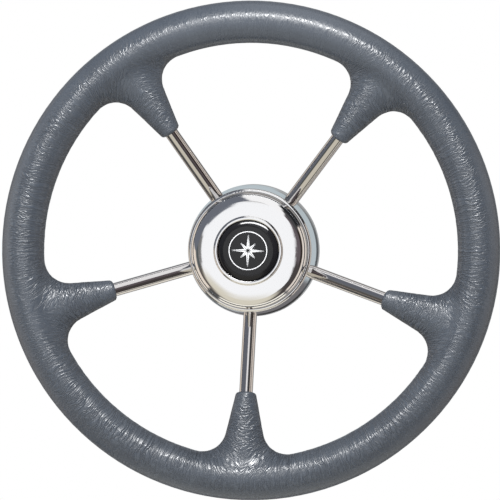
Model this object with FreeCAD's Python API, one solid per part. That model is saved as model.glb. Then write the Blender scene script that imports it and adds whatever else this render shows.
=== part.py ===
import FreeCAD, Part
import os
from math import atan, cos, sin, tan

# Five-spoke stainless boat steering wheel with a moulded grip.
# Millimetres. The wheel turns about Y, its front faces -Y and one spoke points down, along -Z.
# The origin is on the wheel's axis, in the rear face of the hub boss.

V = FreeCAD.Vector

# Rim
wheel_d = 350.0             # over the grip
grip_d = 29.7               # thickness of the grip around the rim
rim_rod_d = 10.0            # steel ring inside the grip
dish = 36.0                 # middle of the rim, ahead of the rear face of the boss

# Spokes, which lean back from the rim to the boss and are bent once, inside their boots
spoke_count = 5
spoke_d = 9.5
spoke_root = 11.6           # spoke axis ahead of the rear face, where it enters the boss
spoke_bend = 52.0           # from the middle of the rim to the bend
spoke_bend_round = 30.0     # radius of the bend
socket_depth = 6.0          # how far a spoke goes into the boss
spoke_fit = 0.05            # radial room around a spoke where it passes through metal

# Boots, the tapered sleeves that the grip forms around the spokes
boot_reach = 60.3           # from the middle of the rim to the mouth of a boot
boot_mouth_w = 14.0         # across the boot, in the plane of the wheel
boot_mouth_t = 13.4         # from front to back
boot_root_w = 39.2
boot_root_t = 23.0
boot_root_in = 2.2          # root section, from the middle of the rim
boot_fillet = 17.0          # between boot and rim
boot_edge = 2.0             # rounding of the mouth

# Boss
boss_d = 40.0
boss_len = 40.0
boss_edge = 1.0
collar_seat_t = 3.0         # thickness of the front flange
collar_seat_over = 0.6      # flange outside the collar of the cover
taper_d = 19.05             # large end of the shaft taper, at the rear face
taper_len = 25.4
taper_rate = 1.0 / 12.0     # on the diameter
key_w = 4.76
key_rise = 2.3              # keyway beyond the large end of the taper
recess_d = 30.0             # room for the shaft nut and its socket spanner

# Bell, the pressed body around the boss
bell_sheet = 1.8
bell_rear = 3.0             # rear edge, ahead of the rear face of the boss
bell_front = 43.0           # front shoulder
bell_front_d = 86.4
bell_waist = 17.0           # where the skirt flares out more
bell_waist_d = 90.0
bell_flare = 9.0            # and where it flares out again
bell_flare_d = 92.0
bell_lip_d = 94.6
bell_curl = 4.2             # how far the rear edge turns in
bell_front_round = 2.0
bell_waist_round = 2.0
bell_flare_round = 8.0
bell_lip_round = 3.0
spigot_len = 3.5            # neck in front of the shoulder, inside the cover

# Cover, the pressed ring in front of the bell
cover_sheet = 0.8
cover_d = 82.0
cover_fit = 0.05            # radial room between the cover and the spigot
cover_inner = 56.5          # foot of the bead, where the face starts
cover_bead = 58.0           # top of the bead
cover_hole_d = 42.4
bead_w = 2.5
bead_foot = 0.4
bead_round = 1.1
bead_foot_round = 0.4
crown_part = 0.38           # place of the crown, in widths of the face from the bead
crown_bend = 3.0            # rounding of the crown, in widths of the face
shoulder_bend = 0.46        # and of the shoulder
face_slope_in = 0.05        # fall of the face inside the crown
face_slope_out = 0.21       # and outside it

# Centre cap
cap_gap = 0.3               # radial room between the cap and the collar of the cover
cap_wall = 3.6
cap_top = 58.7              # top of the ring around the disc
cap_floor = 57.4            # seat of the disc
cap_plate = 2.0
disc_d = 35.2
disc_side = 0.7             # thickness of the disc at its edge
disc_rise = 0.7             # how much thicker its middle is
disc_gap = 0.1
ring_slope_in = 0.21        # fall of the ring beside the disc
ring_slope_out = 0.68       # and beside the collar
ring_bend = 2.2             # rounding between them, in widths of the ring
cap_edge_round = 0.6
seal_d = 2.0                # section of the retaining O-ring
seal_at = 50.0
seal_squeeze = 0.05         # radial room left outside the O-ring
groove_side = 0.2

# Derived
ring_r = (wheel_d - grip_d) / 2.0
boss_r = boss_d / 2.0
bend_r = ring_r - spoke_bend
slope = (dish - spoke_root) / (bend_r - boss_r)
lean = atan(slope)
spoke_step = 360.0 / spoke_count
collar_r = cover_hole_d / 2.0
collar_out_r = collar_r + cover_sheet
seat_r = collar_out_r + collar_seat_over
cover_r = cover_d / 2.0
face_start_r = collar_r + bead_w + bead_foot
face_w = cover_r - face_start_r
crown_r = face_start_r + crown_part * face_w
cover_crown = cover_inner - face_slope_in * (crown_r - face_start_r)
cover_top = cover_crown - face_slope_out * (cover_r - crown_r)
taper_small_d = taper_d - taper_len * taper_rate
spigot_r = cover_r - cover_sheet - cover_fit
cap_r = collar_r - cap_gap
disc_r = disc_d / 2.0
disc_seat_r = disc_r + disc_gap
ring_half = (cap_r - disc_seat_r) / 2.0
ring_middle = cap_top - ring_slope_in * ring_half
cap_edge = ring_middle - ring_slope_out * ring_half
seal_r = collar_r - seal_squeeze - seal_d / 2.0
axis_y = V(0, 1, 0)
centre = V(0, 0, 0)


def save(shape, node):
    shape.exportStep("parts/" + node + ".step")


def unit(vector):
    return vector.multiply(1.0 / vector.Length)


def bent(points):
    """Wire through points (radius, distance ahead of the rear face, corner rounding)."""
    corners = [V(r, -ahead, 0) for r, ahead, _ in points]
    edges = []
    last = corners[0]
    for k in range(1, len(corners) - 1):
        corner = corners[k]
        rounding = points[k][2]
        if rounding == 0:
            edges.append(Part.LineSegment(last, corner).toShape())
            last = corner
            continue
        back = unit(corners[k - 1] - corner)
        on = unit(corners[k + 1] - corner)
        half = back.getAngle(on) / 2.0
        start = corner + back * (rounding / tan(half))
        end = corner + on * (rounding / tan(half))
        mid = corner + unit(back + on) * (rounding / sin(half) - rounding)
        edges.append(Part.LineSegment(last, start).toShape())
        edges.append(Part.Arc(start, mid, end).toShape())
        last = end
    edges.append(Part.LineSegment(last, corners[-1]).toShape())
    return Part.Wire(edges)


def spun(face):
    return face.revolve(centre, axis_y, 360)


def spun_solid(points):
    """Solid of revolution inside a closed profile."""
    return spun(Part.Face(bent(points + [points[0]])))


def spun_sheet(points, thickness):
    """Pressed sheet of revolution, with the given points on its outside."""
    return spun(bent(points).makeOffset2D(-thickness, 0, True, True, False))


def round_ring(radius, section_d, ahead):
    return Part.makeTorus(radius, section_d / 2.0, V(0, -ahead, 0), axis_y)


def spoke_axis(radius):
    """Point on the leaning leg of the spoke that lies along +X."""
    return V(radius, -(spoke_root + (radius - boss_r) * slope), 0)


def lay_spoke(shape, index):
    """Copy of a shape made along +X, turned to the given spoke. The first points down."""
    placed = shape.copy()
    placed.rotate(centre, axis_y, 90.0 + index * spoke_step)
    return placed


def oval(middle, tilt, width, depth):
    """Elliptical section of a boot, width across the boot and depth from front to back."""
    side = middle + V(0, 0, width / 2.0)
    front = middle + V(-sin(tilt), -cos(tilt), 0) * (depth / 2.0)
    if width >= depth:
        curve = Part.Ellipse(side, front, middle)
    else:
        curve = Part.Ellipse(front, side, middle)
    return Part.Wire([curve.toShape()])


# Steel ring inside the grip
rim_core = round_ring(ring_r, rim_rod_d, dish)
save(rim_core, "rim_core")

# Spokes, each from its socket in the boss to the steel ring, which its end is coped to fit
spoke_start = spoke_axis(boss_r - socket_depth)
leg_way = V(cos(lean), -sin(lean), 0)
spoke_path = bent([
    (spoke_start.x, -spoke_start.y, 0),
    (bend_r, dish, spoke_bend_round),
    (ring_r, dish, 0),
])
spoke_end = Part.Wire([Part.Circle(spoke_start, leg_way, spoke_d / 2.0).toShape()])
bar = spoke_path.makePipeShell([spoke_end], True, False)
spokes = []
for index in range(spoke_count):
    spoke = lay_spoke(bar, index).cut(rim_core)
    spokes.append(spoke)
    save(spoke, "spoke_" + str(index + 1))

# Grip, one moulding over the ring and the outer ends of the spokes
mouth_middle = spoke_axis(ring_r - boot_reach)
mouth = oval(mouth_middle, lean, boot_mouth_w, boot_mouth_t)
root = oval(V(ring_r - boot_root_in, -dish, 0), 0, boot_root_w, boot_root_t)
boot = Part.makeLoft([mouth, root], True, True)
mouth_edge = [e for e in boot.Edges if (e.CenterOfMass - mouth_middle).Length < 1.0]
boot = boot.makeFillet(boot_edge, mouth_edge)
tube = round_ring(ring_r, grip_d, dish)
grip = tube
for index in range(spoke_count):
    grip = grip.fuse(lay_spoke(boot, index))
grip = grip.removeSplitter()


def on_tube(point):
    out = (point.x ** 2 + point.z ** 2) ** 0.5 - ring_r
    return abs((out ** 2 + (point.y + dish) ** 2) ** 0.5 - grip_d / 2.0) < 0.001


def is_junction(edge):
    if edge.Curve.TypeId == "Part::GeomCircle":
        return False
    first = edge.FirstParameter
    span = edge.LastParameter - first
    return all(on_tube(edge.valueAt(first + span * part)) for part in (0.2, 0.45, 0.8))


junctions = [e for e in grip.Edges if is_junction(e)]
grip = grip.makeFillet(boot_fillet, junctions)
grip = grip.cut(rim_core)
for spoke in spokes:
    grip = grip.cut(spoke)
save(grip, "grip")

# Boss, turned, with the shaft taper, its keyway and the nut recess
boss = spun_solid([
    (0, 0, 0),
    (boss_r, 0, boss_edge),
    (boss_r, boss_len - collar_seat_t, 0),
    (seat_r, boss_len - collar_seat_t, 0),
    (seat_r, boss_len, 0),
    (0, boss_len, 0),
])
taper = Part.makeCone(taper_d / 2.0, taper_small_d / 2.0, taper_len, centre, V(0, -1, 0))
recess = Part.makeCylinder(recess_d / 2.0, boss_len - taper_len, V(0, -taper_len, 0), V(0, -1, 0))
keyway = Part.makeBox(key_w, taper_len, taper_d / 2.0 + key_rise, V(-key_w / 2.0, -taper_len, 0))
boss = boss.cut(taper).cut(recess).cut(keyway)
socket_len = bell_lip_d / 2.0 / cos(lean)
socket = Part.makeCylinder(spoke_d / 2.0 + spoke_fit, socket_len, spoke_start, leg_way)
for index in range(spoke_count):
    boss = boss.cut(lay_spoke(socket, index))
save(boss, "hub_boss")

# Bell, pressed and flared, with a hole for each spoke
bell = spun_sheet([
    (spigot_r, bell_front + spigot_len, 0),
    (spigot_r, bell_front, 0),
    (bell_front_d / 2.0, bell_front, bell_front_round),
    (bell_waist_d / 2.0, bell_waist, bell_waist_round),
    (bell_flare_d / 2.0, bell_flare, bell_flare_round),
    (bell_lip_d / 2.0, bell_rear, bell_lip_round),
    (bell_lip_d / 2.0 - bell_curl, bell_rear, 0),
], bell_sheet)
for index in range(spoke_count):
    bell = bell.cut(lay_spoke(socket, index))
save(bell, "hub_bell")

# Cover, a pressed ring from its collar on the boss to its skirt on the shoulder of the bell
cover = spun_sheet([
    (collar_r, boss_len, 0),
    (collar_r, cover_bead, bead_round),
    (collar_r + bead_w, cover_bead, bead_round),
    (face_start_r, cover_inner, bead_foot_round),
    (crown_r, cover_crown, crown_bend * face_w),
    (cover_r, cover_top, shoulder_bend * face_w),
    (cover_r, bell_front, 0),
], cover_sheet)
save(cover, "hub_cover")

# Centre cap, which plugs into the collar and stands on the boss
groove_r = seal_r - seal_d / 2.0
groove_half = seal_d / 2.0 + groove_side
cap = spun_solid([
    (0, cap_floor, 0),
    (disc_seat_r, cap_floor, 0),
    (disc_seat_r, cap_top, 0),
    (disc_seat_r + ring_half, ring_middle, ring_bend * ring_half * 2.0),
    (cap_r, cap_edge, cap_edge_round),
    (cap_r, seal_at + groove_half, 0),
    (groove_r, seal_at + groove_half, 0),
    (groove_r, seal_at - groove_half, 0),
    (cap_r, seal_at - groove_half, 0),
    (cap_r, boss_len, 0),
    (cap_r - cap_wall, boss_len, 0),
    (cap_r - cap_wall, cap_floor - cap_plate, 0),
    (0, cap_floor - cap_plate, 0),
])
save(cap, "centre_cap")

# Disc let into the face of the cap, slightly domed
dome_r = (disc_r ** 2 + disc_rise ** 2) / (2.0 * disc_rise)
dome_middle = V(0, -(cap_floor + disc_side + disc_rise - dome_r), 0)
disc = Part.makeCylinder(disc_r, disc_side + 2.0 * disc_rise, V(0, -cap_floor, 0), V(0, -1, 0))
disc = disc.common(Part.makeSphere(dome_r, dome_middle))
save(disc, "cap_disc")

# O-ring that holds the cap in the collar
seal = round_ring(seal_r, seal_d, seal_at)
save(seal, "cap_o_ring")
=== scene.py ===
import math

import bmesh
import bpy
import numpy as np
from mathutils import Matrix, Vector, noise
from mathutils.bvhtree import BVHTree


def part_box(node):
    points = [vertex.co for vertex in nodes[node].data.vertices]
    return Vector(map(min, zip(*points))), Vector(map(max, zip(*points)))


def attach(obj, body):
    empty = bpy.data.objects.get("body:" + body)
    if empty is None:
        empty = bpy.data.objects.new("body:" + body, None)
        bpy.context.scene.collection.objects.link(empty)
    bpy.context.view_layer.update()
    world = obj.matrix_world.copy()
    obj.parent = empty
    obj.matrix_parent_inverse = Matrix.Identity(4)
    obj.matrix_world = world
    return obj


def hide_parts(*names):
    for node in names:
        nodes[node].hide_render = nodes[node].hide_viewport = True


# Looks of a 350 mm stainless boat steering wheel with a moulded slate grip.
# Metres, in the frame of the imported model: the wheel turns about Y and its front faces -Y.

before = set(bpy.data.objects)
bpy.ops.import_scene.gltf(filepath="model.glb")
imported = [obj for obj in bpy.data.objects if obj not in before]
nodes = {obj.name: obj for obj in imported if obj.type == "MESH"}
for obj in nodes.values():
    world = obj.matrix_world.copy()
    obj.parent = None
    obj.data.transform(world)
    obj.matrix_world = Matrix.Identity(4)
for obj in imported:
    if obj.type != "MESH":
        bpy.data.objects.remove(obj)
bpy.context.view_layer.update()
mm = 0.001

# Sizes read from the frame
core_low, core_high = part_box("rim_core")
rod_r = (core_high.y - core_low.y) / 2
ring_r = core_high.x - rod_r
rim_y = (core_high.y + core_low.y) / 2
cover_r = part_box("hub_cover")[1].x
rim_centre = Vector((0, rim_y, 0))

# Grip skin
spoke_count = 5
skin_cell = 1.27 * mm           # mesh size of the skin
tunnel_reach = 0.3 * mm         # a face so near to the metal inside belongs to a tunnel
tunnel_facing = -0.7            # and faces it, by the cosine between the two
boot_slant = math.radians(12.2)     # side of a boot, against its spoke
fan_r = 124.8 * mm              # centre of the fillet beside a boot, along the spoke
fan_t = 29.8 * mm               # and across it
fan_scale = 30 * mm             # radius at which the wrinkles of a fan are as wide as the tube's
boot_mouth = 99.9 * mm          # from the wheel's axis to the mouth of a boot
wrinkle_depth = 0.12 * mm       # of the waves that are in the mesh
crease_depth = 0.34 * mm        # of the creases between them
crease_rise = 4.5               # how fast a crease rises to its ridge
crease_shape = 0.65             # below 1 the creases are sharp and the ridges round
crease_shadow_strength = 0.32             # how far painted shade darkens a crease
crease_pitch = 1.9 * mm         # across the creases
crease_run = 6.5 * mm           # along them
crease_lean = 0.7               # how far the creases lean outwards, against their run
boot_shift = 7                  # apart in the noise, so that no two boots are alike
wander_waves = ((9 * mm, 0.9), (3.2 * mm, 0.25))    # length and height of the creases' wandering
lively_length, lively_share = 16 * mm, 0.35         # slow changes of their depth
coarse_share = 0.6              # waves of the mesh against the creases, in number

# Depth of the creases: between which two places each change runs, and how much it takes or adds
boot_past = (0, 12 * mm)        # along the tube, from a boot's own creases to the tube's
boot_out = (-8 * mm, 5 * mm)    # the same, outwards from the middle of the tube
fillet_span, fillet_gain = (17 * mm, 30 * mm), 0.5      # from the centre of a fillet
root_across, root_loss = (4 * mm, 17 * mm), 0.35        # smooth middle of a boot's wide end
root_along = (126 * mm, 140 * mm)
root_out = (0, 9 * mm)
mouth_span, mouth_loss = (3 * mm, 12 * mm), 0.3         # from the mouth of a boot
outer_span, outer_loss = (6 * mm, 11 * mm), 0.85        # outwards from the middle of the tube
back_span, back_loss = (-2 * mm, 7 * mm), 0.75          # backwards from it
top_span, top_loss = (0.3, 0.7), 0.75                   # radians from the top of the wheel

# Colours
skin_tones = ((0.050, 0.059, 0.073), (0.057, 0.067, 0.082))
# colour of the painted shade in the creases of the grip
crease_shadow_tone = (0.012, 0.014, 0.018)
mirror_steel = (0.80, 0.79, 0.775)
bar_steel = (0.66, 0.64, 0.625)
# Dark ring on the bell where the cover's edge meets it: painted shade of the gap, with dirt as well
dirt_and_shadow_tone = (0.10, 0.095, 0.09)
dirt_and_shadow_edge = 0.15 * mm

# Star printed on the disc of the cap
star_points = 8
star_long = 11.6 * mm           # from the middle to the tip of a long point
star_short = 7.4 * mm           # and of a short one
star_waist = 2.7 * mm           # to the corners between two points
star_eye = 0.9 * mm             # bare middle
star_slit = 0.16 * mm           # half the line along each point
star_ring = (12.9 * mm, 13.5 * mm)
ring_parts = 96
print_cell = 1.5 * mm           # longer edges of the print are divided, to follow the dome
print_cuts = 5
print_rise = 0.05 * mm          # of the print above the disc
weld = 0.001 * mm               # corners nearer than this are one

# Camera, as the photograph was taken
camera_distance = 4.2
camera_azimuth = math.radians(4.5)
camera_elevation = math.radians(0.6)
camera_roll = math.radians(1.9)
picture_px = 500
pixel = 0.7003 * mm             # on the plane of the rim
centre_px = (250.45, 250.45)    # middle of the rim in the picture


def put(tree, kind, inputs=None, **settings):
    """New shader node with its settings, and its inputs set or linked."""
    node = tree.nodes.new(kind)
    for name, value in settings.items():
        setattr(node, name, value)
    for name, value in (inputs or {}).items():
        socket = node.inputs[name]
        if isinstance(value, bpy.types.NodeSocket):
            tree.links.new(value, socket)
        else:
            socket.default_value = value
    return node


def math_node(tree, operation, *values):
    """Output of a math node whose inputs are set or linked."""
    node = put(tree, "ShaderNodeMath", operation=operation)
    for socket, value in zip(node.inputs, values):
        if isinstance(value, bpy.types.NodeSocket):
            tree.links.new(value, socket)
        else:
            socket.default_value = value
    return node.outputs[0]


def ramp(tree, factor, start, end):
    """Colour that runs between two stops (place, colour)."""
    node = put(tree, "ShaderNodeValToRGB", {"Fac": factor})
    for element, (place, colour) in zip(node.color_ramp.elements, (start, end)):
        element.position = place
        element.color = (*colour, 1)
    return node.outputs["Color"]


def between(tree, value, low, high, edge):
    """1 where the value is between low and high, with soft edges."""
    start = put(tree, "ShaderNodeMapRange",
                {"Value": value, "From Min": low - edge, "From Max": low + edge},
                interpolation_type="SMOOTHSTEP").outputs[0]
    end = put(tree, "ShaderNodeMapRange",
              {"Value": value, "From Min": high - edge, "From Max": high + edge,
               "To Min": 1.0, "To Max": 0.0}, interpolation_type="SMOOTHSTEP").outputs[0]
    return math_node(tree, "MULTIPLY", start, end)


def new_material(name):
    """Material with an empty tree but for its output and a Principled BSDF."""
    made = bpy.data.materials.new(name)
    made.use_nodes = True
    tree = made.node_tree
    tree.nodes.clear()
    output = put(tree, "ShaderNodeOutputMaterial")
    shader = put(tree, "ShaderNodeBsdfPrincipled")
    tree.links.new(shader.outputs[0], output.inputs["Surface"])
    return made, tree, shader


def rise(span, x):
    """0 before the span, 1 past it, with a soft step between."""
    low, high = span
    t = np.clip((x - low) / (high - low), 0, 1)
    return t * t * (3 - 2 * t)


# Materials
def grip_material():
    """Moulded skin: narrow creases with rounded ridges between them, painted shade in the creases, and
    a fine grain.
    """
    made, tree, shader = new_material("slate_grip_skin")
    tube = put(tree, "ShaderNodeAttribute", attribute_name="tube_wrinkle").outputs["Vector"]
    boot = put(tree, "ShaderNodeAttribute", attribute_name="boot_wrinkle").outputs["Vector"]
    share = put(tree, "ShaderNodeAttribute", attribute_name="boot_share").outputs["Fac"]
    depth = put(tree, "ShaderNodeAttribute", attribute_name="wrinkle_depth").outputs["Fac"]
    place = put(tree, "ShaderNodeTexCoord").outputs["Object"]

    def ridges(vector):
        """0 in a crease, which is where the noise crosses its middle, and 1 on a ridge."""
        swell = put(tree, "ShaderNodeTexNoise",
                    {"Vector": vector, "Scale": 1.0, "Detail": 1.2, "Roughness": 0.45,
                     "Distortion": 0.25}).outputs["Fac"]
        off = math_node(tree, "ABSOLUTE", math_node(tree, "SUBTRACT", swell, 0.5))
        part = math_node(tree, "MINIMUM", math_node(tree, "MULTIPLY", off, crease_rise), 1.0)
        return math_node(tree, "POWER", part, crease_shape)

    mixed = put(tree, "ShaderNodeMix", {"Factor": share, "A": ridges(tube), "B": ridges(boot)})
    ridge = mixed.outputs[0]
    height = math_node(tree, "MULTIPLY", ridge, depth)
    wrinkles = put(tree, "ShaderNodeBump",
                   {"Strength": 1.0, "Distance": crease_depth, "Height": height})
    grain = put(tree, "ShaderNodeTexNoise", {"Vector": place, "Scale": 1900, "Detail": 2})
    grained = put(tree, "ShaderNodeBump",
                  {"Strength": 0.35, "Distance": 0.05 * mm, "Height": grain.outputs["Fac"],
                   "Normal": wrinkles.outputs[0]})
    tree.links.new(grained.outputs[0], shader.inputs["Normal"])
    patches = put(tree, "ShaderNodeTexNoise", {"Vector": place, "Scale": 38, "Detail": 3})
    tone = ramp(tree, patches.outputs["Fac"], (0.3, skin_tones[0]), (0.7, skin_tones[1]))
    # Painted shade: the base colour darkens towards the crease colour in the creases, more where they
    # are deep.
    crease_shadow = math_node(tree, "MULTIPLY", math_node(tree, "SUBTRACT", 1.0, ridge),
                      math_node(tree, "MULTIPLY", depth, crease_shadow_strength))
    crease_shadowed = put(tree, "ShaderNodeMix", {"Factor": crease_shadow}, data_type="RGBA")
    tree.links.new(tone, crease_shadowed.inputs["A"])
    crease_shadowed.inputs["B"].default_value = (*crease_shadow_tone, 1)
    tree.links.new(crease_shadowed.outputs["Result"], shader.inputs["Base Color"])
    gloss = put(tree, "ShaderNodeMapRange",
                {"Value": ridge, "From Min": 0.2, "From Max": 0.9,
                 "To Min": 0.40, "To Max": 0.21})
    tree.links.new(gloss.outputs[0], shader.inputs["Roughness"])
    return made


def steel_material(name, colour, low, high, stretch, scratch_scale, scratch, seam=None):
    """Steel with smudges, its roughness between low and high, and polishing lines that stretch
    gathers along an axis. A seam is a dark ring around the axis, between two radii: painted
    shade of the gap at a joint, with dirt as well."""
    made, tree, shader = new_material(name)
    place = put(tree, "ShaderNodeTexCoord").outputs["Object"]
    stretched = put(tree, "ShaderNodeMapping", {"Vector": place, "Scale": stretch})
    lines = put(tree, "ShaderNodeTexNoise",
                {"Vector": stretched.outputs[0], "Scale": scratch_scale, "Detail": 3})
    smudges = put(tree, "ShaderNodeTexNoise", {"Vector": place, "Scale": 90, "Detail": 3})
    rough = put(tree, "ShaderNodeMapRange",
                {"Value": smudges.outputs["Fac"], "From Min": 0.35, "From Max": 0.7,
                 "To Min": low, "To Max": high})
    bump = put(tree, "ShaderNodeBump",
               {"Strength": scratch, "Distance": 0.01 * mm, "Height": lines.outputs["Fac"]})
    tree.links.new(rough.outputs[0], shader.inputs["Roughness"])
    tree.links.new(bump.outputs[0], shader.inputs["Normal"])
    shader.inputs["Base Color"].default_value = (*colour, 1)
    shader.inputs["Metallic"].default_value = 1.0
    # Painted shade of the gap at the seam, with dirt as well: the base colour turns dark between the
    # two radii.
    if seam:
        flat = put(tree, "ShaderNodeVectorMath", {0: place, 1: (1, 0, 1)}, operation="MULTIPLY")
        radius = put(tree, "ShaderNodeVectorMath", {0: flat.outputs[0]}, operation="LENGTH")
        dirt_and_shadow = between(tree, radius.outputs["Value"], *seam, dirt_and_shadow_edge)
        dirt_and_shadowed = put(tree, "ShaderNodeMix", data_type="RGBA")
        tree.links.new(dirt_and_shadow, dirt_and_shadowed.inputs["Factor"])
        dirt_and_shadowed.inputs["A"].default_value = (*colour, 1)
        dirt_and_shadowed.inputs["B"].default_value = (*dirt_and_shadow_tone, 1)
        tree.links.new(dirt_and_shadowed.outputs["Result"], shader.inputs["Base Color"])
    return made


def plastic_material(name, colour, roughness, grain_scale, grain_depth, gloss=0.5):
    """Moulded plastic, rubber or print with a fine grain."""
    made, tree, shader = new_material(name)
    place = put(tree, "ShaderNodeTexCoord").outputs["Object"]
    grain = put(tree, "ShaderNodeTexNoise", {"Vector": place, "Scale": grain_scale, "Detail": 2})
    bump = put(tree, "ShaderNodeBump",
               {"Strength": 0.4, "Distance": grain_depth, "Height": grain.outputs["Fac"]})
    tree.links.new(bump.outputs[0], shader.inputs["Normal"])
    shader.inputs["Base Color"].default_value = (*colour, 1)
    shader.inputs["Roughness"].default_value = roughness
    shader.inputs["Specular IOR Level"].default_value = gloss
    return made


polished = steel_material("polished_stainless", mirror_steel, 0.05, 0.09, (1, 1, 1), 900, 0.05)
spoke_steel = steel_material("polished_bar", bar_steel, 0.06, 0.11, (1, 1, 1), 700, 0.12)
# The bell has a dark ring where the cover's edge meets it: painted shade of the gap, with dirt as
# well.
bell_steel = steel_material("polished_bell", mirror_steel, 0.05, 0.09, (1, 1, 1), 900, 0.05,
                            seam=(cover_r - 1.0 * mm, cover_r + 0.35 * mm))
turned = steel_material("turned_stainless", (0.66, 0.655, 0.64), 0.22, 0.32,
                        (1, 12, 1), 1500, 0.5)
bare = steel_material("drawn_stainless", (0.55, 0.545, 0.53), 0.3, 0.42,
                      (1, 1, 1), 800, 0.5)
cap_gloss = plastic_material("black_gloss_plastic", (0.006, 0.006, 0.007), 0.10, 1200,
                             0.01 * mm, gloss=0.32)
disc_satin = plastic_material("charcoal_satin_plastic", (0.010, 0.010, 0.011), 0.38, 2600,
                              0.02 * mm, gloss=0.36)
seal_black = plastic_material("black_seal_rubber", (0.020, 0.020, 0.021), 0.55, 1800, 0.03 * mm)
print_white = plastic_material("white_print", (0.86, 0.87, 0.88), 0.4, 1500, 0.01 * mm)


def dress(name, finish):
    """Gives a CAD node its material."""
    mesh = nodes[name].data
    mesh.materials.clear()
    mesh.materials.append(finish)


# Grip skin: the moulded grip with its wrinkled surface
spoke_names = ["spoke_" + str(index + 1) for index in range(spoke_count)]


def spoke_angle(index):
    """Angle of a spoke in the plane of the wheel, from +X towards +Z. The first points down."""
    return math.radians(-90 - 360 / spoke_count * index)


def outer_surface():
    """The grip's outside alone, with the tunnels of the ring and the spokes closed off."""
    hidden = []
    for name in ["rim_core"] + spoke_names:
        hidden.append(BVHTree.FromPolygons([v.co for v in nodes[name].data.vertices],
                                           [p.vertices for p in nodes[name].data.polygons]))
    bm = bmesh.new()
    bm.from_mesh(nodes["grip"].data)
    bmesh.ops.remove_doubles(bm, verts=bm.verts, dist=weld)
    inner = []
    for face in bm.faces:
        middle = face.calc_center_median()
        for tree in hidden:
            _, normal, _, distance = tree.find_nearest(middle)
            if distance < tunnel_reach and normal.dot(face.normal) < tunnel_facing:
                inner.append(face)
                break
    bmesh.ops.delete(bm, geom=inner, context="FACES")
    rims = [edge for edge in bm.edges if edge.is_boundary]
    bmesh.ops.holes_fill(bm, edges=rims, sides=0)
    mesh = bpy.data.meshes.new("grip_outside")
    bm.to_mesh(mesh)
    bm.free()
    return mesh


def even_mesh(mesh):
    """The same surface in even quads."""
    rough = bpy.data.objects.new("rough_skin", mesh)
    bpy.context.scene.collection.objects.link(rough)
    remesh = rough.modifiers.new("even", "REMESH")
    remesh.mode = "VOXEL"
    remesh.voxel_size = skin_cell
    smooth = rough.modifiers.new("smooth", "SMOOTH")
    smooth.factor = 0.5
    smooth.iterations = 4
    depsgraph = bpy.context.evaluated_depsgraph_get()
    even = bpy.data.meshes.new_from_object(rough.evaluated_get(depsgraph))
    bpy.data.objects.remove(rough)
    surface = BVHTree.FromPolygons([v.co for v in mesh.vertices],
                                   [p.vertices for p in mesh.polygons])
    for vertex in even.vertices:
        vertex.co = surface.find_nearest(vertex.co)[0]
    return even


def points_of(mesh):
    """The mesh's points as rows of an array."""
    flat = np.zeros(len(mesh.vertices) * 3, np.float32)
    mesh.vertices.foreach_get("co", flat)
    return flat.reshape(-1, 3).astype(float)


def wrinkle_fields(points):
    """Across the wrinkles the fields run fast, along them slowly.
    Returns the field of the tube, the field of the boots and their fillets, the share of the
    second, and how deep the wrinkles are."""
    x, y, z = points[:, 0], points[:, 1] - rim_y, points[:, 2]
    radius = np.hypot(x, z)
    turn = np.arctan2(z, x)
    across_mm, along_mm = 1 / crease_pitch, 1 / crease_run
    out = radius - ring_r
    tube = np.stack([np.cos(turn) * ring_r * across_mm,
                     np.sin(turn) * ring_r * across_mm,
                     (y + crease_lean * out) * along_mm], axis=1)
    boot = np.zeros_like(points)
    share = np.zeros(len(points))
    fillet = np.zeros(len(points))
    root = np.zeros(len(points))
    mouth = np.zeros(len(points))
    fan_turn = math.atan2(fan_t, fan_r)
    boot_side = boot_slant - math.pi / 2
    for index in range(spoke_count):
        angle = spoke_angle(index)
        off = (turn - angle + math.pi) % (2 * math.pi) - math.pi
        near = np.abs(off) < math.pi / spoke_count
        q_r = radius * np.cos(off)
        q_t = radius * np.sin(off)
        v_r, v_t = q_r - fan_r, np.abs(q_t) - fan_t
        phi = np.arctan2(v_t, v_r)
        reach = np.hypot(v_r, v_t)
        fan = (phi - boot_side) * fan_scale
        down = v_r * -math.sin(boot_side) + v_t * math.cos(boot_side)
        on_tube = (fan_turn - boot_side) * fan_scale + ring_r * (np.abs(off) - fan_turn)
        path = np.where(np.abs(off) > fan_turn, on_tube,
                        np.where(phi < boot_side, down, fan))
        field = np.stack([path * across_mm, q_t * along_mm, y * along_mm + boot_shift * index],
                         axis=1)
        boot[near] = field[near]
        beyond = ring_r * (np.abs(off) - fan_turn)
        own = (1 - rise(boot_past, beyond)) * (1 - rise(boot_out, out))
        share[near] = own[near]
        beside = 1 - rise(fillet_span, reach)
        fillet[near] = beside[near]
        blank = ((1 - rise(root_across, np.abs(q_t)))
                 * rise(root_along, q_r) * (1 - rise(root_out, out)))
        root[near] = blank[near]
        lip = 1 - rise(mouth_span, q_r - boot_mouth)
        mouth[near] = lip[near]
    top = 1 - rise(top_span, np.abs(turn - math.pi / 2))
    depth = (1 + fillet_gain * fillet) * (1 - root_loss * root) * (1 - mouth_loss * mouth)
    depth *= 1 - outer_loss * rise(outer_span, out)
    depth *= (1 - top_loss * top) * (1 - back_loss * rise(back_span, y))
    return tube, boot, share, depth


def sample(field):
    """Smooth noise at each point of a field."""
    return np.array([noise.noise(Vector(p)) for p in field])


def add_attribute(mesh, name, kind, values):
    """One value per point, for the material."""
    attribute = mesh.attributes.new(name, kind, "POINT")
    key = "vector" if kind == "FLOAT_VECTOR" else "value"
    attribute.data.foreach_set(key, np.asarray(values, np.float32).ravel())


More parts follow.
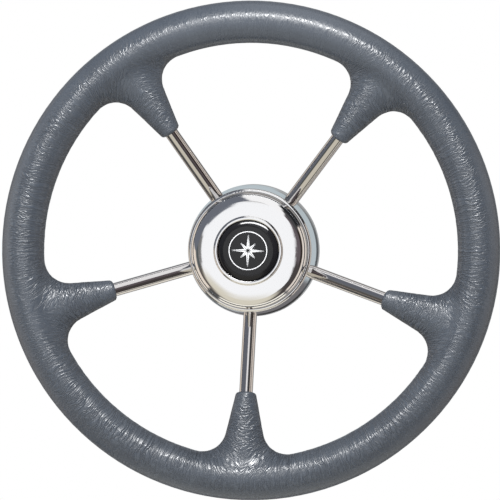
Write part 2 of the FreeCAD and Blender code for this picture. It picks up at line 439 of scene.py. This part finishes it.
def grip_skin():
    """The grip's outside with waves in its mesh and the fields of its creases."""
    mesh = even_mesh(outer_surface())
    mesh.name = "grip_skin"
    points = points_of(mesh)
    tube, boot, share, depth = wrinkle_fields(points)
    wander = sum(sample(points / length) * height for length, height in wander_waves)
    lively = 1 + lively_share * sample((points + 1) / lively_length)
    tangent = np.stack([-points[:, 2], points[:, 0]], axis=1)
    tangent /= np.linalg.norm(tangent, axis=1)[:, None]
    tube[:, 0] += tangent[:, 0] * wander
    tube[:, 1] += tangent[:, 1] * wander
    boot[:, 0] += wander
    depth = depth * lively
    normals = np.zeros(len(mesh.vertices) * 3, np.float32)
    mesh.vertex_normals.foreach_get("vector", normals)
    normals = normals.reshape(-1, 3)
    coarse = sample(tube * coarse_share) * (1 - share) + sample(boot * coarse_share) * share
    moved = points + normals * (coarse * depth * wrinkle_depth)[:, None]
    mesh.vertices.foreach_set("co", moved.astype(np.float32).ravel())
    mesh.update()
    mesh.polygons.foreach_set("use_smooth", np.ones(len(mesh.polygons), bool))
    add_attribute(mesh, "tube_wrinkle", "FLOAT_VECTOR", tube)
    add_attribute(mesh, "boot_wrinkle", "FLOAT_VECTOR", boot)
    add_attribute(mesh, "boot_share", "FLOAT", share)
    add_attribute(mesh, "wrinkle_depth", "FLOAT", depth)
    mesh.materials.append(grip_material())
    skin = bpy.data.objects.new("grip_skin", mesh)
    bpy.context.scene.collection.objects.link(skin)
    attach(skin, "wheel")
    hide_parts("grip")
    return skin


# Star on the disc
def printed_star():
    """Thin raised print that follows the domed disc: a star of split points inside a ring."""
    disc = nodes["cap_disc"].data
    dome = BVHTree.FromPolygons([v.co for v in disc.vertices], [p.vertices for p in disc.polygons])

    def on_disc(x, z):
        """Place of the disc's face along the axis."""
        return dome.ray_cast(Vector((x, -0.1, z)), Vector((0, 1, 0)))[0].y

    bm = bmesh.new()

    def lay(outline):
        """Flat piece of print inside an outline of (across, up)."""
        corners = [bm.verts.new((x, 0, z)) for x, z in outline]
        bm.faces.new(corners)

    step = 2 * math.pi / star_points
    for index in range(star_points):
        turn = index * step
        tip = star_long if index % 2 == 0 else star_short
        for side in (-1, 1):
            outline = []
            for reach, off in ((star_eye, 0), (tip, 0), (star_waist, side * step / 2)):
                across = reach * math.sin(off) + (side * star_slit if off == 0 else 0)
                along = reach * math.cos(off)
                outline.append((across * math.cos(turn) + along * math.sin(turn),
                                along * math.cos(turn) - across * math.sin(turn)))
            lay(outline)
    for index in range(ring_parts):
        a, b = (2 * math.pi * k / ring_parts for k in (index, index + 1))
        inner, outer = star_ring
        lay([(inner * math.sin(a), inner * math.cos(a)), (outer * math.sin(a), outer * math.cos(a)),
             (outer * math.sin(b), outer * math.cos(b)), (inner * math.sin(b), inner * math.cos(b))])
    bmesh.ops.remove_doubles(bm, verts=bm.verts, dist=weld)
    bmesh.ops.triangulate(bm, faces=bm.faces)
    bmesh.ops.subdivide_edges(bm, edges=[e for e in bm.edges if e.calc_length() > print_cell],
                              cuts=print_cuts, use_grid_fill=True)
    bmesh.ops.triangulate(bm, faces=bm.faces)
    raised = bmesh.ops.extrude_face_region(bm, geom=bm.faces[:])["geom"]
    raised = {item for item in raised if isinstance(item, bmesh.types.BMVert)}
    for vertex in bm.verts:
        proud = print_rise if vertex in raised else -print_rise
        vertex.co.y = on_disc(vertex.co.x, vertex.co.z) - proud
    bmesh.ops.recalc_face_normals(bm, faces=bm.faces)
    mesh = bpy.data.meshes.new("printed_star")
    bm.to_mesh(mesh)
    bm.free()
    mesh.materials.append(print_white)
    star = bpy.data.objects.new("printed_star", mesh)
    bpy.context.scene.collection.objects.link(star)
    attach(star, "cap")
    return star


# Studio
floor_z = -0.6
floor_size = 3.0
floor_near = 0.8                # the floor begins to fade there
floor_far = 2.8                 # and is white there
floor_lift = 0.2                # how far the camera sees it lifted to white before that


def direction(azimuth, elevation):
    """Unit vector from the wheel towards a place in the studio. Azimuth 0 is in front, +X is right."""
    a, e = math.radians(azimuth), math.radians(elevation)
    return Vector((math.sin(a) * math.cos(e), -math.cos(a) * math.cos(e), math.sin(e)))


def disc_card(tree, way, azimuth, elevation, inner, outer):
    """Round card: full inside one angle from its middle, gone outside the other."""
    towards = put(tree, "ShaderNodeVectorMath", {0: way, 1: direction(azimuth, elevation)},
                  operation="DOT_PRODUCT").outputs["Value"]
    return put(tree, "ShaderNodeMapRange",
               {"Value": towards, "From Min": math.cos(math.radians(outer)),
                "From Max": math.cos(math.radians(inner))},
               interpolation_type="SMOOTHSTEP").outputs[0]


def panel_card(tree, azimuth, elevation, left, right, low, high, edge):
    """Card between two azimuths and two elevations, with soft edges."""
    return math_node(tree, "MULTIPLY", between(tree, azimuth, left, right, edge),
                     between(tree, elevation, low, high, edge))


def sector_card(tree, way, from_front, first, last, inner, outer, edge):
    """Part of a ring around the wheel's axis, with soft edges: between two clock angles,
    clockwise from the top, and between two angles from the front."""
    middle = math.radians((first + last) / 2)
    half = (last - first) / 2
    sides = []
    for axis in ((math.cos(middle), 0, -math.sin(middle)), (math.sin(middle), 0, math.cos(middle))):
        sides.append(put(tree, "ShaderNodeVectorMath", {0: way, 1: axis},
                         operation="DOT_PRODUCT").outputs["Value"])
    turn = math_node(tree, "DEGREES", math_node(tree, "ARCTAN2", *sides))
    return math_node(tree, "MULTIPLY", between(tree, turn, -half, half, edge),
                     between(tree, from_front, inner, outer, edge))


def studio_world():
    """A dim room with cards around the wheel for the metal to mirror, and a white background.
    Each card has its kind, its place as the function of that kind takes it, and its colour."""
    world = bpy.data.worlds.new("studio")
    bpy.context.scene.world = world
    world.use_nodes = True
    tree = world.node_tree
    tree.nodes.clear()
    way = put(tree, "ShaderNodeTexCoord").outputs["Generated"]
    axes = put(tree, "ShaderNodeSeparateXYZ", {0: way}).outputs
    front = math_node(tree, "MULTIPLY", axes["Y"], -1.0)
    azimuth = math_node(tree, "DEGREES", math_node(tree, "ARCTAN2", axes["X"], front))
    elevation = math_node(tree, "DEGREES", math_node(tree, "ARCSINE", axes["Z"]))
    from_front = math_node(tree, "DEGREES", math_node(tree, "ARCCOSINE", front))
    room = put(tree, "ShaderNodeRGB")
    room.outputs[0].default_value = (*room_tone, 1)
    seen = room.outputs[0]
    for kind, *place, colour in cards:
        if kind == "disc":
            share = disc_card(tree, way, *place)
        elif kind == "sector":
            share = sector_card(tree, way, from_front, *place)
        else:
            share = panel_card(tree, azimuth, elevation, *place)
        laid = put(tree, "ShaderNodeMix", data_type="RGBA")
        tree.links.new(share, laid.inputs["Factor"])
        tree.links.new(seen, laid.inputs["A"])
        laid.inputs["B"].default_value = (*colour, 1)
        seen = laid.outputs["Result"]
    camera_ray = put(tree, "ShaderNodeLightPath").outputs["Is Camera Ray"]
    light = put(tree, "ShaderNodeBackground", {"Color": seen, "Strength": 1.0})
    white = put(tree, "ShaderNodeBackground", {"Color": (1, 1, 1, 1), "Strength": 1.0})
    mixed = put(tree, "ShaderNodeMixShader",
                {0: camera_ray, 1: light.outputs[0], 2: white.outputs[0]})
    output = put(tree, "ShaderNodeOutputWorld")
    tree.links.new(mixed.outputs[0], output.inputs["Surface"])


def softbox(name, azimuth, elevation, distance, width, height, power, only):
    """Soft lamp aimed at the wheel, which lights the given pieces and nothing else."""
    data = bpy.data.lights.new(name, "AREA")
    data.shape = "RECTANGLE"
    data.size = width
    data.size_y = height
    data.energy = power
    lamp = bpy.data.objects.new(name, data)
    bpy.context.scene.collection.objects.link(lamp)
    way = direction(azimuth, elevation)
    lamp.location = rim_centre + way * distance
    lamp.rotation_euler = way.to_track_quat("Z", "Y").to_euler()
    lamp.visible_camera = False
    lit = bpy.data.collections.new(name + "_lights")
    for piece in only:
        lit.objects.link(piece)
    lamp.light_linking.receiver_collection = lit


def floor():
    """Plain pale floor below the wheel. It fades to the white background as it goes away."""
    mesh = bpy.data.meshes.new("floor")
    corners = [(x * floor_size, y * floor_size, floor_z)
               for x, y in ((-1, -1), (1, -1), (1, 1), (-1, 1))]
    mesh.from_pydata(corners, [], [(0, 1, 2, 3)])
    made, tree, shader = new_material("pale_floor")
    shader.inputs["Base Color"].default_value = (0.86, 0.86, 0.85, 1)
    shader.inputs["Roughness"].default_value = 0.8
    seen = put(tree, "ShaderNodeLightPath").outputs["Is Camera Ray"]
    place = put(tree, "ShaderNodeTexCoord").outputs["Object"]
    flat = put(tree, "ShaderNodeVectorMath", {0: place, 1: (1, 1, 0)}, operation="MULTIPLY")
    away = put(tree, "ShaderNodeVectorMath", {0: flat.outputs[0]}, operation="LENGTH")
    fade = put(tree, "ShaderNodeMapRange",
               {"Value": away.outputs["Value"], "From Min": floor_near, "From Max": floor_far,
                "To Min": floor_lift, "To Max": 1.0}, interpolation_type="SMOOTHSTEP").outputs[0]
    lift = math_node(tree, "MULTIPLY", seen, fade)
    glow = put(tree, "ShaderNodeEmission", {"Color": (1, 1, 1, 1), "Strength": lift})
    both = put(tree, "ShaderNodeAddShader", {0: shader.outputs[0], 1: glow.outputs[0]})
    tree.links.new(both.outputs[0], tree.nodes["Material Output"].inputs["Surface"])
    mesh.materials.append(made)
    ground = bpy.data.objects.new("floor", mesh)
    ground.visible_glossy = False
    bpy.context.scene.collection.objects.link(ground)
    return ground


def camera():
    """Camera at the photograph's place, with the middle of the rim on its pixel."""
    back = direction(math.degrees(camera_azimuth), math.degrees(camera_elevation))
    right = Vector((0, 0, 1)).cross(back).normalized()
    up = back.cross(right)
    turned_right = right * math.cos(camera_roll) + up * math.sin(camera_roll)
    turned_up = back.cross(turned_right)
    middle = picture_px / 2
    aim = rim_centre - turned_right * ((centre_px[0] - middle) * pixel)
    aim += turned_up * ((centre_px[1] - middle) * pixel)
    data = bpy.data.cameras.new("camera")
    data.lens = data.sensor_width * camera_distance / (picture_px * pixel)
    data.clip_start = 0.1
    data.clip_end = 50
    eye = bpy.data.objects.new("camera", data)
    bpy.context.scene.collection.objects.link(eye)
    turn = Matrix((turned_right, turned_up, back)).transposed().to_4x4()
    eye.matrix_world = Matrix.Translation(aim + back * camera_distance) @ turn
    bpy.context.scene.camera = eye


for name in spoke_names:
    dress(name, spoke_steel)
dress("hub_bell", bell_steel)
dress("hub_cover", polished)
dress("hub_boss", turned)
dress("rim_core", bare)
dress("centre_cap", cap_gloss)
dress("cap_disc", disc_satin)
dress("cap_o_ring", seal_black)
skin = grip_skin()
star = printed_star()

# What the metal mirrors, in degrees, later cards in front of earlier ones
room_tone = (0.30, 0.285, 0.28)
window_white = (1.125, 1.145, 1.19)
top_white = (1.12, 1.13, 1.16)
cream = (0.80, 0.76, 0.65)
pale_blue = (0.50, 0.57, 0.61)
dusk_blue = (0.170, 0.185, 0.225)
near_black = (0.045, 0.045, 0.047)
cards = [
    ("disc", 177, -1, 26, 32, (0.44, 0.45, 0.46)),
    ("disc", 177, -1, 15.5, 17.5, (0.085, 0.095, 0.105)),
    ("disc", -170, 10, 11, 14, pale_blue),
    ("disc", 177, -1, 11.3, 12.8, pale_blue),
    ("disc", 179, -13, 8.5, 10.5, (0.17, 0.165, 0.175)),
    ("disc", 172, -18, 5, 7, near_black),
    ("disc", -179, -19, 4, 7, near_black),
    ("sector", 20, 150, 10, 76, 3, (0.145, 0.122, 0.136)),
    ("sector", 20, 66, 36, 80, 6, (0.075, 0.075, 0.080)),
    ("sector", 29, 61, 62, 130, 3, (0.020, 0.021, 0.024)),
    ("sector", 64, 140, 47, 70, 3, (0.040, 0.030, 0.026)),
    ("sector", 105, 150, 16, 76, 6, (0.075, 0.066, 0.066)),
    ("sector", 150, 216, 40, 77, 4, (0.040, 0.033, 0.034)),
    ("sector", 214, 262, 22, 68, 6, (0.140, 0.122, 0.113)),
    ("sector", 252, 306, 22, 65, 5, (0.220, 0.220, 0.225)),
    ("sector", 250, 290, 38, 50, 3, (0.085, 0.105, 0.110)),
    ("sector", -58, -12, 24, 130, 4, dusk_blue),
    ("sector", -54, -20, 80, 130, 4, (0.090, 0.095, 0.100)),
    ("sector", -38, -20, 56, 64, 2, (0.320, 0.300, 0.300)),
    ("sector", 61, 138, 69, 128, 2, (0.88, 0.80, 0.73)),
    ("sector", 142, 214, 75, 128, 2, (1.10, 1.06, 0.96)),
    ("sector", 214, 229, 66, 128, 2, (0.10, 0.098, 0.095)),
    ("sector", 228, 307, 62, 128, 2, (0.95, 0.85, 0.75)),
    ("panel", -22, 11, -43, -15, 2, window_white),
    ("panel", -25.2, 16.3, -19, 22.5, 1, window_white),
    ("disc", -8, -48, 18, 34, cream),
    ("disc", -24, -22, 3, 15, cream),
    ("disc", -60, 45, 46, 48, dusk_blue),
    ("sector", -10, 38, 24.3, 44, 3, top_white),
    ("sector", -11, 34, 38, 66, 3, top_white),
    ("sector", -13, 29, 60, 112, 3, top_white),
]
studio_world()
ground = floor()
softbox("top_light", azimuth=3, elevation=41.5, distance=1.8, width=0.75, height=0.24,
        power=42, only=[skin, nodes["hub_boss"], ground])
softbox("side_light", azimuth=-26, elevation=18, distance=1.8, width=0.45, height=0.70,
        power=9, only=[skin, ground])
softbox("left_fill", azimuth=-78, elevation=12, distance=1.8, width=1.2, height=1.4,
        power=6, only=[skin, ground])
softbox("disc_light", azimuth=11, elevation=52, distance=1.2, width=1.1, height=0.22,
        power=21, only=[nodes["cap_disc"], star])
softbox("cap_light", azimuth=11, elevation=52, distance=1.2, width=1.1, height=0.32,
        power=50, only=[nodes["centre_cap"]])
camera()
bpy.context.scene.view_settings.view_transform = "Standard"
